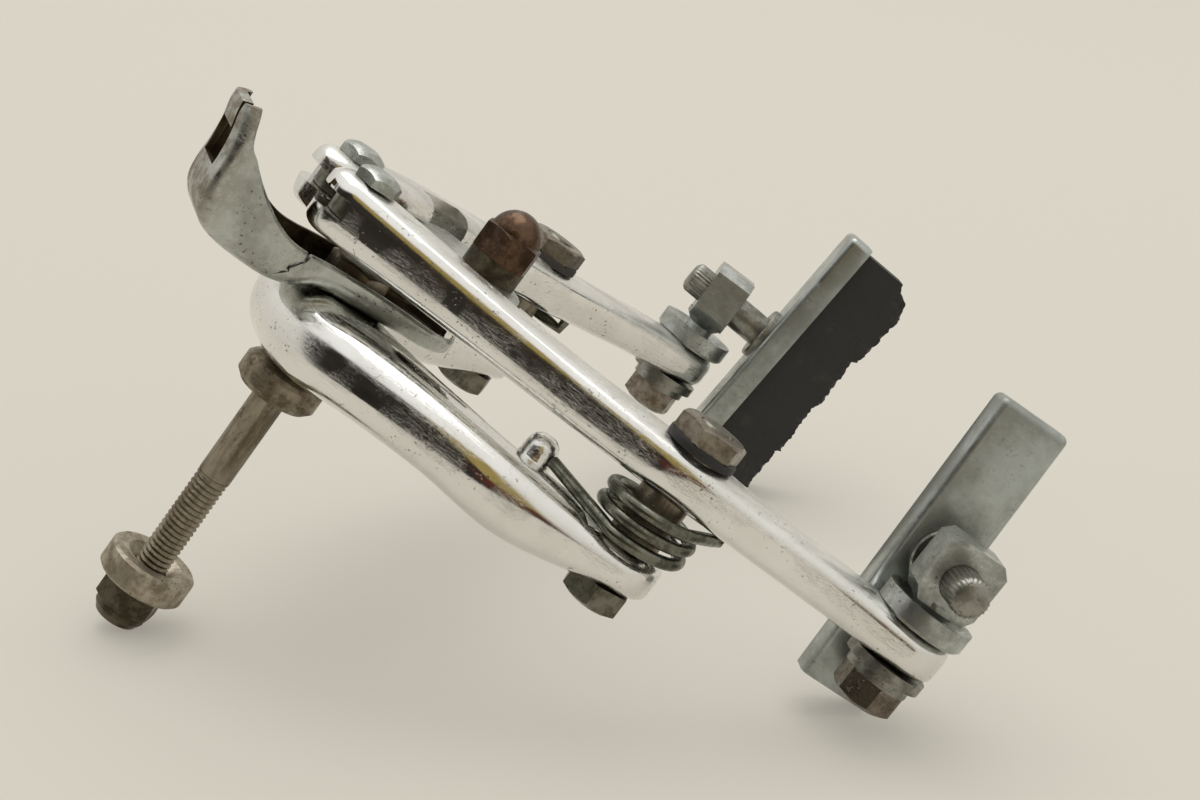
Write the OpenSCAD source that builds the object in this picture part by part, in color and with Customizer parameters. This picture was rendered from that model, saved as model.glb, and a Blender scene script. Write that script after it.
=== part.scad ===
// Roller cam brake: a forged yoke on a centre bolt, two arms on pivots, a cam plate
// that spreads the rollers at their upper ends, and two pads on clamped posts.
// Millimetres, +Z up, front at -Y. The origin is on the centre bolt,
// where the seat washer's rear face bears on the frame.

/* [Yoke] */
// Distance between the two arm pivots
pivot_spacing = 85.3; // [83:0.1:88]
// Drop of the pivots below the centre bolt
pivot_drop = 47.6; // [46:0.1:50]
// Front face of the yoke at the centre bolt
hub_front = -21.4; // [-21.8:0.1:-21.4]
// Front face of the yoke ends
yoke_end_front = -19.3; // [-19.6:0.1:-18.8]
// Rear face of the yoke ends
yoke_end_rear = -12.1; // [-12.8:0.1:-11.8]
// Radius of the yoke ends
yoke_end_r = 7.2; // [6.5:0.1:7.5]

/* [Centre bolt] */
// Radius of the centre bolt and the other large bolts
bolt_r = 3; // [2.9:0.05:3]
// Free end of the centre bolt behind the seat
bolt_reach = 47.7; // [47:0.1:56]
// Front face of the rear washer
rear_washer_y = 35.9; // [26:0.1:36]
// Radius of the rear washer
rear_washer_r = 8; // [7.5:0.1:8.5]
// Thickness of the rear washer
rear_washer_t = 5; // [4:0.1:5]
// Radius of the washer at the seat
seat_washer_r = 7.5; // [7:0.1:8]
// Thickness of the washer at the seat
seat_washer_t = 5.8; // [5:0.1:6]

/* [Cable hanger] */
// Sheet thickness of the cable hanger
sheet_t = 1.8; // [1.6:0.1:1.9]
// Width of the cable slot
stop_slot_w = 8.6; // [8:0.1:9]
// Length of the cable slot
stop_slot_len = 6.4; // [6:0.1:7]

/* [Arms] */
// Half the distance between the roller axes, brake open
roller_x = 6.45; // [6.4:0.01:6.6]
// Height of the roller axes above the centre bolt
roller_z = 8.6; // [8.4:0.1:8.8]
// Half the distance between the clamp bolts
clamp_x = 58.8; // [58:0.1:60]
// Drop of the clamp bolts below the centre bolt
clamp_drop = 91; // [90:0.1:92]
// Front face of the arm at its pivot
arm_front = -37.8; // [-37.8:0.1:-37.6]
// Rear face of the pivot boss on the arm
boss_rear = -28.8; // [-29:0.1:-28.6]

/* [Cam] */
// Thickness of the cam plate
cam_t = 1.6; // [1.5:0.1:1.8]
// Rear face of the cam plate
cam_rear = -35.2; // [-35.3:0.1:-35.1]
// Radius of the rollers
roller_r = 4.6; // [4.5:0.05:4.6]
// Lift of the cam for each degree of the arms, in mm
cam_lift = 2.08; // [2:0.01:2.2]
// Drop of the cable anchor below the centre bolt
anchor_drop = 19.4; // [19:0.1:20]

/* [Return springs] */
// Radius of the spring wire
wire_r = 1.1; // [1:0.05:1.1]
// Mean radius of the spring coil
coil_r = 8.7; // [8.6:0.1:9]
// Whole turns of the spring coil, before the part turn to its arm leg
coil_turns = 2; // [2:1:3]

/* [Pads] */
// Length of the pad holder
holder_len = 57; // [54:0.1:57]
// Width of the pad holder
holder_w = 13.7; // [13:0.1:15]
// Depth of the holder's rim
holder_rim = 5.2; // [4:0.1:6]
// Sheet thickness of the pad holder
holder_t = 1.2; // [1.1:0.1:1.5]
// Offset of the post from the middle of the holder
post_offset = 1.6; // [0:0.1:2]
// Radius of the pad post
post_r = 3.4; // [3.3:0.05:3.5]
// Length of the pad post
post_len = 20.2; // [19:0.1:21]
// Distance of the left holder from its clamp bolt
left_reach = 8.5; // [8.4:0.1:10]
// Distance of the right holder from its clamp bolt, as the photo shows it
right_reach = 11.8; // [8.4:0.1:15]
// Turn of the left pad on its clamp
left_turn = 20; // [0:1:45]
// Turn of the right pad on its slack clamp
right_turn = 63; // [0:1:65]
// Height of the left rubber above its holder's rim
left_rubber = 3.2; // [2:0.1:8]
// Height of the right rubber above its holder's rim
right_rubber = 14; // [8:0.1:15]

/* [Hidden] */

LEFT = -1;
RIGHT = 1;
pivot_x = pivot_spacing / 2;
fit_gap = 0.05;
clear_gap = 0.3;
fine = 48;
// The right arm's lower end has taken a small set, inward, forward and down
right_set = [-2, -1.5, -2.4];
past = 1;

steel = "#77736a";
zinc = "#9ea3a3";
polished = "#d5d5d3";
rusty = "#6b4a3a";
black = "#262626";

// Shared shapes

function blend(a, b, c, d, u) =
    0.5 * (2 * b + (c - a) * u + (2 * a - 5 * b + 4 * c - d) * u * u + (3 * b - a - 3 * c + d) * u * u * u);

// The value at place t of a smooth curve through a list of stations
function along(list, t) =
    let (last = len(list) - 1, i = min(floor(t), last - 1))
    blend(list[max(i - 1, 0)], list[i], list[i + 1], list[min(i + 2, last)], t - i);

function signed_power(v, p) = sign(v) * pow(abs(v), p);

// A closed skin through rings that have the same number of points. A ring that goes out along
// a sheet's outside and back along its inside is capped as a strip, any other as a fan.
module skin(rings, sheet = false) {
    n = len(rings[0]);
    last = len(rings) - 1;
    points = [for (ring = rings) each ring];
    walls = [
        for (i = [0 : last - 1], j = [0 : n - 1])
            let (a = i * n + j, b = i * n + (j + 1) % n, c = b + n, d = a + n)
            each [[a, b, c], [a, c, d]]
    ];
    cap = sheet
        ? [for (j = [0 : n / 2 - 2]) each [[j, n - 1 - j, n - 2 - j], [j, n - 2 - j, j + 1]]]
        : [for (j = [1 : n - 2]) [0, j + 1, j]];
    far_cap = [for (t = cap) [last * n + t[0], last * n + t[2], last * n + t[1]]];
    polyhedron(points, concat(walls, cap, far_cap));
}

// A cylinder along Y from one depth to the other
module rod(r, y0, y1, x = 0, z = 0, faces = fine) {
    translate([x, y1, z]) rotate([90, 0, 0]) cylinder(r = r, h = y1 - y0, $fn = faces);
}

// A hexagon along Y, given across its flats
module hex(flats, y0, y1) {
    translate([0, y1, 0]) rotate([90, 0, 0]) rotate(30) cylinder(d = flats / cos(30), h = y1 - y0, $fn = 6);
}

// A revolved form about Y: the profile is [radius, y], y growing to the rear
module turned(profile) {
    rotate([-90, 0, 0]) rotate_extrude($fn = fine) polygon(profile);
}

// A hexagon along Y whose ends are turned down, like a real nut or bolt head
module chamfered_hex(flats, y0, y1, front_cut, rear_cut) {
    corner = flats / cos(30) / 2;
    intersection() {
        hex(flats, y0, y1);
        rotate([90, 0, 0]) rotate_extrude($fn = fine) polygon([
            [0, -y1], [corner - rear_cut, -y1], [corner, -y1 + rear_cut / 2],
            [corner, -y0 - front_cut / 2], [corner - front_cut, -y0], [0, -y0]
        ]);
    }
}

module at_pivot(side) {
    translate([side * pivot_x, 0, -pivot_drop]) children();
}

module at_roller(side) {
    translate([side * roller_x, 0, roller_z]) children();
}

// Mirrors a right-hand shape for the left side
module sided(side) {
    if (side == LEFT) mirror([1, 0, 0]) children();
    else children();
}

function set_of(side) = side == RIGHT ? right_set : [0, 0, 0];

module clamp_frame(side) {
    translate([clamp_x, 0, -clamp_drop] + set_of(side)) children();
}

module at_clamp(side) {
    sided(side) clamp_frame(side) children();
}

// Rounded bars: yoke and arms

// One ring of a bar: station [x, z, half width, front y, rear y], dir its heading in XZ
function bar_ring(s, dir, square, faces) = [
    for (j = [0 : faces - 1])
        let (
            a = 360 * j / faces,
            w = s[2] * signed_power(cos(a), 2 / square),
            y = (s[3] + s[4]) / 2 + (s[4] - s[3]) / 2 * signed_power(sin(a), 2 / square)
        )
        [s[0] - dir[1] * w, y, s[1] + dir[0] * w]
];

function heading(list, t) =
    let (step = 0.02, a = along(list, max(t - step, 0)), b = along(list, min(t + step, len(list) - 1)),
         d = [b[0] - a[0], b[1] - a[1]])
    d / norm(d);

// The stations that close a bar with a round end, out from its last station
function round_end(s, dir, turns) = [
    for (a = turns)
        let (mid = (s[3] + s[4]) / 2, half = (s[4] - s[3]) / 2 * (1 - 0.3 * pow(sin(a), 4)))
        [s[0] + dir[0] * s[2] * sin(a), s[1] + dir[1] * s[2] * sin(a), s[2] * cos(a), mid - half, mid + half]
];

cap_turns = [30, 50, 68, 82];

// Yoke

yoke_faces = 24;
seat_y = -seat_washer_t;
yoke_leg = [
    [0, 0.0, 11.6, -21.9, seat_y + 0.4],
    [9, -1.2, 11.0, -22.1, -6.5],
    [19, -7.0, 9.0, -22.2, -8.7],
    [28.5, -17.0, 7.8, -21.8, -9.6],
    [36.5, -30.5, 7.6, -20.8, -8.7],
    [pivot_x, -pivot_drop, yoke_end_r, yoke_end_front, yoke_end_rear]
];
lug_at = [30.2, -31.2];
// How square the bars are: 2 is an ellipse, and more is squarer
hub_square = 2.1;
leg_square = 3.6;
arm_square = 4;

function yoke_rings() =
    let (
        last = len(yoke_leg) - 1,
        ts = [for (i = [0 : 17]) last * i / 17],
        body = [for (t = ts) bar_ring(along(yoke_leg, t), t == 0 ? [1, 0] : heading(yoke_leg, t),
                                      hub_square + (leg_square - hub_square) * min(t / 2, 1), yoke_faces)],
        out = heading(yoke_leg, last),
        cap = [for (s = round_end(yoke_leg[last], out, cap_turns)) bar_ring(s, out, leg_square, yoke_faces)]
    )
    concat(body, cap);

module yoke_half(side) {
    sided(side) skin(yoke_rings());
}

module spring_lug(side) {
    lug_r = 2.9;
    lug_top = -22.2;
    translate([side * lug_at[0], 0, lug_at[1]]) {
        rod(lug_r, lug_top, -17);
        translate([0, lug_top, 0]) sphere(lug_r, $fn = 24);
    }
}

module yoke() {
    color(polished) difference() {
        union() {
            yoke_half(LEFT);
            yoke_half(RIGHT);
            spring_lug(LEFT);
            spring_lug(RIGHT);
        }
        rod(bolt_r + fit_gap, hub_front - 5, seat_y + 5);
        translate([-14, hub_front - 5, -14]) cube([28, 5, 28]);
        translate([-14, seat_y, -14]) cube([28, 5, 28]);
        for (side = [LEFT, RIGHT]) at_pivot(side) {
            rod(bolt_r + fit_gap, yoke_end_front - 5, yoke_end_rear + 5);
            rod(9.9, yoke_end_front - 5, yoke_end_front);
            rod(7.6, yoke_end_rear, yoke_end_rear + 5);
        }
    }
}

// Centre bolt and what sits on it

hanger_web = hub_front - sheet_t;
head_t = 4;

module centre_bolt() {
    color(steel) {
        chamfered_hex(10, hanger_web - head_t, hanger_web, 1, 0.2);
        rod(bolt_r, hanger_web - past, bolt_reach);
    }
}

module seat_washer() {
    bore = bolt_r + 0.15;
    color(steel) translate([0, seat_y, 0]) turned([
        [bore, 0], [5.2, 0], [6.9, 0.9], [seat_washer_r, 1.6],
        [seat_washer_r, seat_washer_t - 1.2], [seat_washer_r - 1.2, seat_washer_t], [bore, seat_washer_t]
    ]);
}

module rear_washer() {
    bore = bolt_r + 0.15;
    color("#a49d90") translate([0, rear_washer_y, 0]) turned([
        [bore, 1.7], [5.2, 0], [rear_washer_r - 0.5, 0], [rear_washer_r, 0.5],
        [rear_washer_r, rear_washer_t - 0.5], [rear_washer_r - 0.5, rear_washer_t], [bore, rear_washer_t]
    ]);
}

nut_y = rear_washer_y + rear_washer_t;

module centre_nut() {
    hex_t = 5.2;
    nut_len = 7.6;
    color("#4d4238") difference() {
        union() {
            chamfered_hex(10, nut_y, nut_y + hex_t, 0.3, 1.2);
            translate([0, nut_y, 0]) turned([
                [0, hex_t - past], [4.7, hex_t - past], [4.7, hex_t + 1], [3.9, nut_len], [0, nut_len]
            ]);
        }
        rod(bolt_r + fit_gap, nut_y - past, nut_y + nut_len + past);
    }
}

// Cable hanger: a pressed channel, open to the front, with the cable slot on top

// Stations: crown y, z, then the flange's edge y, z, then half the width
hanger_stations = [
    [-40.5, 33.4, -41.2, 30.6, 5.6],
    [-38.6, 33.2, -40.0, 30.3, 6.5],
    [-35.3, 32.5, -37.7, 29.7, 7.0],
    [-31.3, 32.1, -35.6, 28.8, 7.3],
    [-27.3, 32.1, -34.2, 27.2, 7.5],
    [-23.8, 31.5, -32.8, 25.8, 7.7],
    [-20.8, 29.0, -31.2, 24.0, 7.9],
    [-19.3, 25.2, -29.4, 21.6, 8.0],
    [-18.6, 20.3, -27.4, 18.4, 8.1],
    [-18.4, 15.5, -26.1, 15.0, 8.2],
    [-19.2, 11.3, -25.8, 11.6, 8.3],
    [-20.9, 7.9, -26.0, 8.2, 8.4],
    [-21.4, 4.9, -26.1, 5.0, 8.5],
    [-21.4, 3.9, -26.1, 4.0, 8.5],
    [-21.4, -4.0, -25.8, -4.0, 8.5],
    [-21.4, -12.0, -25.2, -12.0, 8.5]
];
hanger_corner = 3;

// One ring of the channel: the outside from flange to flange, then back along the inside
function hanger_ring(s) =
    let (
        down = [s[2] - s[0], s[3] - s[1]],
        depth = norm(down),
        dir = down / depth,
        w = s[4],
        r = min(hanger_corner, w - sheet_t, depth - 0.2),
        ri = max(r - sheet_t, 0.4),
        outer = concat(
            [[-w, depth]],
            [for (a = [0 : 30 : 90]) [-w + r - r * cos(a), r - r * sin(a)]],
            [for (a = [90 : -30 : 0]) [w - r + r * cos(a), r - r * sin(a)]],
            [[w, depth]]
        ),
        wi = w - sheet_t,
        inner = concat(
            [[wi, depth]],
            [for (a = [0 : 30 : 90]) [wi - ri + ri * cos(a), sheet_t + ri - ri * sin(a)]],
            [for (a = [90 : -30 : 0]) [-wi + ri - ri * cos(a), sheet_t + ri - ri * sin(a)]],
            [[-wi, depth]]
        )
    )
    [for (p = concat(outer, inner)) [p[0], s[0] + dir[0] * p[1], s[1] + dir[1] * p[1]]];

// The tongue under the yoke's front ends in a half circle
hanger_end = [
    for (a = [25, 45, 60, 72])
        let (s = hanger_stations[len(hanger_stations) - 1], w = s[4])
        [s[0], s[1] - w * sin(a), s[2] + 0.6 * sin(a), s[3] - w * sin(a), w * cos(a) + 0.4]
];

// The crack across the left flange, an open zigzag where the neck bends
module hanger_crack() {
    zigzag = [
        [-20.4, 14.7], [-21.8, 13.9], [-23.2, 13.6], [-24.3, 12.5], [-27.0, 11.6], [-27.0, 10.6],
        [-24.2, 11.8], [-22.9, 12.8], [-21.7, 13.3]
    ];
    translate([-8 - sheet_t, 0, 0]) rotate([90, 0, 90]) linear_extrude(2 * sheet_t + 1.4) polygon(zigzag);
}

module cable_hanger() {
    fine_steps = 2;
    ts = [for (i = [0 : fine_steps * (len(hanger_stations) - 1)]) i / fine_steps];
    rings = concat([for (t = ts) hanger_ring(along(hanger_stations, t))], [for (s = hanger_end) hanger_ring(s)]);
    slot_mid = -32.7;
    slit_w = 1.1;
    color(zinc) difference() {
        skin([for (i = [len(rings) - 1 : -1 : 0]) rings[i]], sheet = true);
        rod(bolt_r + fit_gap, -30, 0);
        translate([-stop_slot_w / 2, slot_mid - stop_slot_len / 2, 26]) cube([stop_slot_w, stop_slot_len, 10]);
        translate([-stop_slot_w / 2, -45, 26]) cube([slit_w, 45 + slot_mid, 10]);
        hanger_crack();
    }
}

// Pivots

washer_front = arm_front - 0.2;
washer_t = 1.5;
nut_t = 3.3;
pivot_end = washer_front - washer_t - nut_t - 0.3;

module pivot_bolt(side) {
    color(steel) at_pivot(side) {
        chamfered_hex(10, yoke_end_rear, yoke_end_rear + 4.4, 0.3, 1.6);
        turned([
            [0, pivot_end], [bolt_r - 0.5, pivot_end], [bolt_r, pivot_end + 0.5],
            [bolt_r, yoke_end_rear + past], [0, yoke_end_rear + past]
        ]);
    }
}

module pivot_sleeve(side) {
    sleeve_r = 4.5;
    color(steel) at_pivot(side) difference() {
        rod(sleeve_r, washer_front, yoke_end_front);
        rod(bolt_r + fit_gap, washer_front - past, yoke_end_front + past);
    }
}

module pivot_washer(side) {
    color(black) at_pivot(side) difference() {
        rod(6.9, washer_front - washer_t, washer_front);
        rod(bolt_r + fit_gap, washer_front - washer_t - past, washer_front + past);
    }
}

module pivot_nut(side) {
    nut_rear = washer_front - washer_t;
    color(steel) at_pivot(side) rotate([0, 15, 0]) difference() {
        chamfered_hex(11, nut_rear - nut_t, nut_rear, 1.1, 0.4);
        rod(bolt_r + fit_gap, nut_rear - nut_t - past, nut_rear + past);
    }
}

// Return springs

coil_front = boss_rear + 1.6;
coil_rear = yoke_end_front - 1.5;
wire_faces = 8;
// How far the wire leans forward from the coil to the lug
hook_rise = 1.5;

// Where the wire's legs end, from the pivot: under the yoke's lug and in the arm's rear
lug_hold = [lug_at[0] + 2.6 - pivot_x, lug_at[1] - 1.6 + pivot_drop];
arm_hold = [1.4, -12.4];

// The wire's centre line about the pivot, for the right side: lug, coil, then the arm's hole
function spring_route() =
    let (
        start = atan2(lug_hold[1], lug_hold[0]) - acos(coil_r / norm(lug_hold)),
        stop = atan2(arm_hold[1], arm_hold[0]) + acos(coil_r / norm(arm_hold)) - 360 * (coil_turns + 1),
        sweep = start - stop,
        on_coil = function (a, y) [coil_r * cos(a), y, coil_r * sin(a)],
        lug = [lug_hold[0], coil_rear - hook_rise, lug_hold[1]],
        hole = [arm_hold[0], coil_front, arm_hold[1]],
        steps = 56,
        hook = [for (k = [0 : 0.25 : 0.75]) lug + (on_coil(start, coil_rear) - lug) * k],
        coil = [for (i = [0 : steps]) on_coil(start - sweep * i / steps,
                                              coil_rear + (coil_front - coil_rear) * i / steps)],
        leg = [for (k = [0.3, 0.6, 0.97]) coil[steps] + (hole - coil[steps]) * k],
        tip = [hole + [0, -3.6, 0]]
    )
    concat(hook, coil, leg, tip);

function wire_ring(p, q) =
    let (t = (q - p) / norm(q - p), u = cross(t, [0, 1, 0]), side = u / norm(u), up = cross(side, t))
    [for (j = [0 : wire_faces - 1]) let (a = 360 * j / wire_faces)
        p + wire_r * (cos(a) * side + sin(a) * up)];

module return_spring(side) {
    route = spring_route();
    last = len(route) - 1;
    rings = [for (i = [0 : last]) wire_ring(route[i], i < last ? route[i + 1] : 2 * route[i] - route[i - 1])];
    color("#4c4a45") at_pivot(side) sided(side) skin(rings);
}

// Arms

arm_faces = 24;
arm_bar = [
    [6.2, 10.0, 5.8, -40.7, -29.5],
    [15.6, -5.6, 6.0, -39.5, -29.4],
    [27.6, -24.2, 5.7, -38.3, -29.2],
    [37.6, -39.8, 6.6, -38.0, -29.2],
    [43.0, -49.5, 7.0, arm_front - 0.1, -29.2],
    [48.2, -62.0, 6.0, -37.0, -28.8],
    [53.6, -76.5, 5.8, -36.4, -28.4],
    [clamp_x, -clamp_drop, 7.2, -35.5, -28.0]
];
// How far each station of the right arm follows its set, first in XZ and then in Y
set_share = [[0, 0], [0, 0.9], [0, 0.9], [0, 0.4], [0.1, 0], [0.4, 0.3], [0.75, 0.7], [1, 1]];
arm_end_front = -35.5;
arm_end_rear = -28;
slot_front = cam_rear - cam_t - clear_gap;
slot_rear = slot_front + 3.4;

function arm_stations(side) =
    let (off = set_of(side))
    [for (i = [0 : len(arm_bar) - 1])
        let (xz = set_share[i][0], y = set_share[i][1] * off[1])
        arm_bar[i] + [xz * off[0], xz * off[2], 0, y, y]];

function arm_rings(side) =
    let (
        bar = arm_stations(side),
        last = len(bar) - 1,
        ts = [for (i = [0 : 25]) last * i / 25],
        top = heading(bar, 0),
        low = heading(bar, last),
        body = [for (t = ts) bar_ring(along(bar, t), heading(bar, t), arm_square, arm_faces)],
        upper = [for (i = [len(cap_turns) - 1 : -1 : 0])
                 bar_ring(round_end(bar[0], -top, cap_turns)[i], top, arm_square, arm_faces)],
        lower = [for (s = round_end(bar[last], low, cap_turns)) bar_ring(s, low, arm_square, arm_faces)]
    )
    concat(upper, body, lower);

// Turns a shape so that its local -Z runs down the upper arm from the roller
module along_upper_arm() {
    lean = atan2(pivot_x - roller_x, pivot_drop + roller_z);
    translate([roller_x, 0, roller_z]) rotate([0, -lean, 0]) children();
}

// The saw cut that takes the roller, and below the front tab the rabbet for the plate's wide end
module arm_slot() {
    tab_len = 18;
    slot_t = slot_rear - slot_front;
    inner_edge = -3.0;
    rabbet_edge = -1;
    rabbet_len = 12;
    at_roller(RIGHT) rod(roller_r + 0.6, slot_front, slot_rear);
    along_upper_arm() {
        translate([-12, slot_front, 0.4]) cube([24, slot_t, 12]);
        translate([-12, slot_front, -tab_len]) cube([12 + inner_edge, slot_t, tab_len + 12]);
        translate([-12, slot_front - 10, -tab_len - rabbet_len]) cube([12 + rabbet_edge, slot_t + 10, rabbet_len]);
    }
}

module arm(side) {
    color(polished) sided(side) difference() {
        union() {
            skin(arm_rings(side));
            at_pivot(RIGHT) rod(7.4, arm_front, boss_rear);
            clamp_frame(side) rod(6.4, arm_end_front, arm_end_rear);
        }
        arm_slot();
        at_roller(RIGHT) rod(2 + fit_gap, -50, -20);
        at_roller(RIGHT) rod(4.4, tab_front - 5, tab_front);
        at_pivot(RIGHT) rod(4.5 + fit_gap, -50, -20);
        at_pivot(RIGHT) rod(8, arm_front - 5, arm_front);
        clamp_frame(side) rod(bolt_r + 0.1, -50, -20);
        at_pivot(RIGHT) rod(wire_r + 0.5, -32.4, -20, arm_hold[0], arm_hold[1]);
        clamp_frame(side) rod(8.2, arm_end_front - 5, arm_end_front);
        clamp_frame(side) rod(8.2, arm_end_rear, arm_end_rear + 5);
    }
}

// Rollers and their bolts

tab_front = -40.7;
leaf_rear = -29.8;

module roller_bolt(side) {
    head = 2.5;
    color(zinc) at_roller(side) {
        intersection() {
            hex(7.2, tab_front - head, tab_front);
            translate([0, tab_front + 3.4, 0]) sphere(6.3, $fn = fine);
        }
        rod(2, tab_front - past, leaf_rear);
    }
}

module roller(side) {
    play = 0.1;
    color("#3d3b38") at_roller(side) difference() {
        rod(roller_r, slot_front + play, slot_rear - play);
        rod(2 + fit_gap, slot_front - past, slot_rear + past);
    }
}

// Cam plate, with flanks that follow the rollers as the arms swing

function roller_at(turn) =
    let (dx = roller_x - pivot_x, dz = roller_z + pivot_drop)
    [pivot_x + dx * cos(turn) + dz * sin(turn), -pivot_drop + dz * cos(turn) - dx * sin(turn)];

function in_cam(turn) = roller_at(turn) - [0, cam_lift * turn];

function flank(turn) =
    let (d = in_cam(turn + 0.1) - in_cam(turn - 0.1), t = d / norm(d))
    in_cam(turn) + (roller_r + clear_gap) * [t[1], -t[0]];

cam_last_turn = 13;
cam_top = 11;
cam_bottom = -25.4;

function cam_outline() =
    let (
        first = flank(0) - [roller_x, roller_z],
        from = atan2(first[1], first[0]),
        neck = [for (k = [0 : 3]) let (a = -180 + (from + 180) * k / 3)
                [roller_x, roller_z] + (roller_r + clear_gap) * [cos(a), sin(a)]],
        sides = [for (turn = [1 : cam_last_turn]) flank(turn)],
        corner = flank(cam_last_turn),
        low = [corner[0] - 1.2, corner[1] - 3.4],
        half = low[0],
        rise = low[1] - cam_bottom,
        r = (half * half + rise * rise) / (2 * rise),
        swing = asin(half / r),
        base = [for (k = [0 : 5]) let (a = swing * (1 - k / 6)) [r * sin(a), cam_bottom + r - r * cos(a)]]
    )
    concat([[neck[0][0] - 0.5, cam_top], [neck[0][0], cam_top - 0.6]],
           neck, sides, [[corner[0], corner[1] - 1.6]], base);

module cam_plate() {
    half = cam_outline();
    color(zinc) difference() {
        translate([0, cam_rear, 0]) rotate([90, 0, 0]) linear_extrude(cam_t)
            polygon(concat(half, [for (i = [len(half) - 1 : -1 : 0]) [-half[i][0], half[i][1]]]));
        rod(bolt_r + fit_gap, -50, -20, 0, -anchor_drop);
    }
}

// Cable anchor

cam_front = cam_rear - cam_t;
spacer_t = 3.3;
rear_washer_thin = 2.2;
nut_base = cam_front - spacer_t;

module at_anchor() {
    translate([0, 0, -anchor_drop]) children();
}

module anchor_bolt() {
    head_front = cam_rear + rear_washer_thin;
    color("#3a3733") at_anchor() {
        chamfered_hex(10, head_front, head_front + 3, 0.3, 1);
        rod(bolt_r, nut_base - 6.5, head_front + past);
    }
}

module anchor_rear_washer() {
    color(black) at_anchor() difference() {
        rod(6.6, cam_rear, cam_rear + rear_washer_thin);
        rod(bolt_r + fit_gap, cam_rear - past, cam_rear + 3);
    }
}

module anchor_spacer() {
    color(black) at_anchor() difference() {
        rod(5.2, nut_base, cam_front);
        rod(bolt_r + fit_gap, nut_base - past, cam_front + past);
    }
}

module anchor_nut() {
    hex_t = 5.2;
    dome_r = 4.7;
    color(rusty) at_anchor() difference() {
        union() {
            chamfered_hex(10, nut_base - hex_t, nut_base, 1, 0.5);
            intersection() {
                translate([0, nut_base - hex_t + 0.6, 0]) sphere(dome_r, $fn = fine);
                rod(dome_r, nut_base - 20, nut_base - hex_t + past);
            }
        }
        rod(bolt_r + fit_gap, nut_base - 6.6, nut_base + past);
    }
}

// Pad clamps

saddle_t = 3.8;
eye_rear = -39.7;

module saddle_washer(side) {
    bore = bolt_r + 0.1;
    front = arm_end_front - saddle_t;
    color(zinc) at_clamp(side) turned([
        [bore, front + 1.9], [4.6, front + 1.4], [6.6, front + 0.4], [7.4, front], [8.1, front],
        [8.1, arm_end_front - 0.6], [7.5, arm_end_front], [bore, arm_end_front]
    ]);
}

module eye_bolt(side) {
    block_half = 4;
    block_z = 5.7;
    front = eye_y(side) - 6.6;
    rear = eye_y(side) + 5.6;
    cut = 1.6;
    color(zinc) difference() {
        at_clamp(side) rotate([0, -turn_of(side), 0]) {
            rotate([90, 0, 90]) translate([0, 0, -block_half]) linear_extrude(2 * block_half) polygon([
                [rear, -4.4], [rear, 4.4], [rear - 2, block_z], [front + cut, block_z], [front, block_z - cut],
                [front, -block_z + cut], [front + cut, -block_z], [rear - 2, -block_z]
            ]);
            rod(bolt_r, rear - past, clamp_end + rear - eye_rear);
            turned([[0, rear - 1], [4.4, rear - 1], [4.4, rear], [bolt_r, rear + 1.4], [0, rear + 1.4]]);
        }
        at_pad(side) rotate([0, 90, 0]) cylinder(r = post_r + fit_gap, h = 2 * post_len, $fn = fine);
    }
}

stepped_t = 3.6;
clamp_nut_t = 5;
clamp_nut_front = arm_end_rear + stepped_t;
clamp_end = clamp_nut_front + 4.6;

module stepped_washer(side) {
    bore = bolt_r + 0.1;
    color(steel) at_clamp(side) translate([0, arm_end_rear, 0]) turned([
        [bore, 0], [7.1, 0], [7.1, 1.9], [5.9, 2.1], [5.9, stepped_t], [bore, stepped_t]
    ]);
}

module clamp_nut(side) {
    color("#5d5a53") at_clamp(side) rotate([0, 10, 0]) difference() {
        chamfered_hex(10, clamp_nut_front, clamp_nut_front + clamp_nut_t, 0.4, 1.8);
        rod(bolt_r + fit_gap, clamp_nut_front - past, clamp_end);
    }
}

// Pads. Each is drawn about its post, for the right side, with the rubber towards -X.

pad_top = holder_w / 2 + post_offset;
pad_floor = pad_top - holder_w;

function turn_of(side) = side == RIGHT ? right_turn : left_turn;
function reach_of(side) = side == RIGHT ? right_reach : left_reach;
function rubber_of(side) = side == RIGHT ? right_rubber : left_rubber;
function toe_of(side) = side == RIGHT ? -3.6 : -2;
function roll_of(side) = side == RIGHT ? 0 : -1.2;
function eye_y(side) = side == RIGHT ? eye_rear - 7.4 : eye_rear - 5.6;

module at_pad(side) {
    at_clamp(side) translate([0, eye_y(side), 0]) rotate([0, -turn_of(side), 0])
        rotate([roll_of(side), 0, toe_of(side)]) translate([-reach_of(side), 0, 0]) children();
}

module pad_post(side) {
    collar_r = 5.8;
    collar_t = 1.2;
    color(steel) at_pad(side) rotate([0, 90, 0]) rotate_extrude($fn = fine) polygon([
        [0, 0], [collar_r, 0], [collar_r, collar_t - 0.3], [collar_r - 0.3, collar_t], [post_r, collar_t],
        [post_r, post_len - 0.6], [post_r - 0.6, post_len], [0, post_len]
    ]);
}

module pad_holder(side) {
    color(zinc) at_pad(side) difference() {
        translate([-holder_rim, -holder_len / 2, pad_floor]) cube([holder_rim, holder_len, holder_w]);
        translate([-holder_rim - past, -holder_len / 2 + holder_t, pad_floor + holder_t])
            cube([holder_rim + past - holder_t, holder_len, holder_w - 2 * holder_t]);
    }
}

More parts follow.
